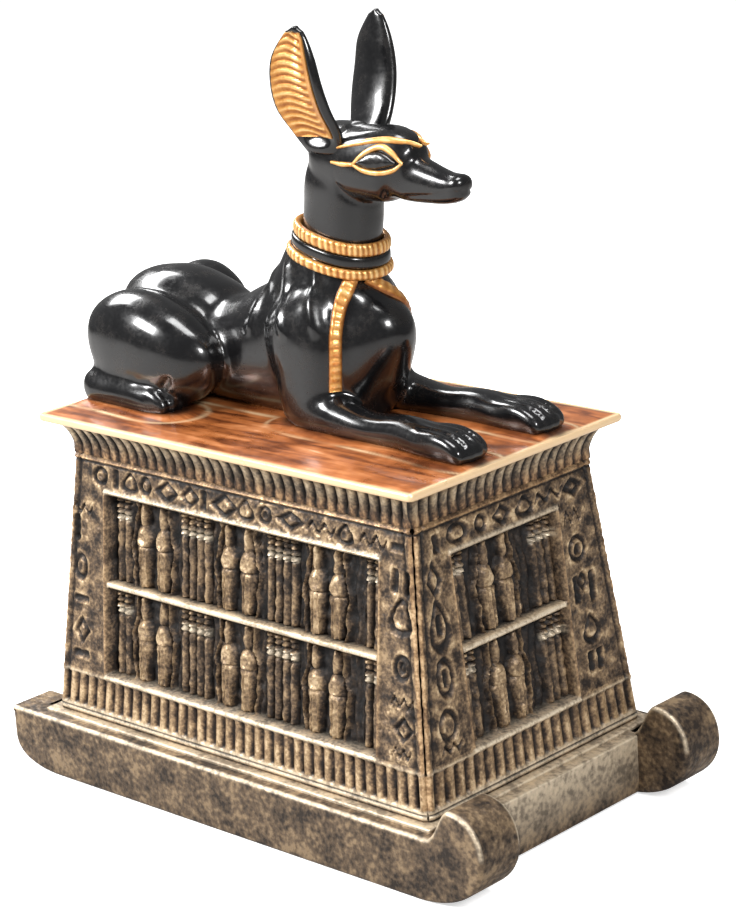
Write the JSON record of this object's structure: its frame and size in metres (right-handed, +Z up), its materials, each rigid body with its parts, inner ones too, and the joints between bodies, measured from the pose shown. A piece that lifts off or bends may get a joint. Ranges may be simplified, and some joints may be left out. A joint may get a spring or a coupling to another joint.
{
  "type": "anubis figurine",
  "caption": "Recumbent black jackal with a gold collar on the removable lid of a hollow, relief-panelled shrine box that stands on a sledge.",
  "frame": {"origin": "on the floor, below the middle of the sledge", "axes": "+X along the sledge towards the jackal's nose, +Y towards the jackal's left side, +Z up"},
  "size_m": [0.1274, 0.0714, 0.1527],
  "materials": {
    "black_lacquer": "glossy black lacquer over cast resin",
    "copper_paint": "satin copper-brown paint with a pale gold edge over cast resin",
    "aged_gold": "dark wash with a worn antique gold dry brush over cast resin"
  },
  "bodies": {
    "root": {"jackal": "black_lacquer", "shrine_lid": "copper_paint", "shrine_box": "aged_gold"}
  },
  "joints": []
}
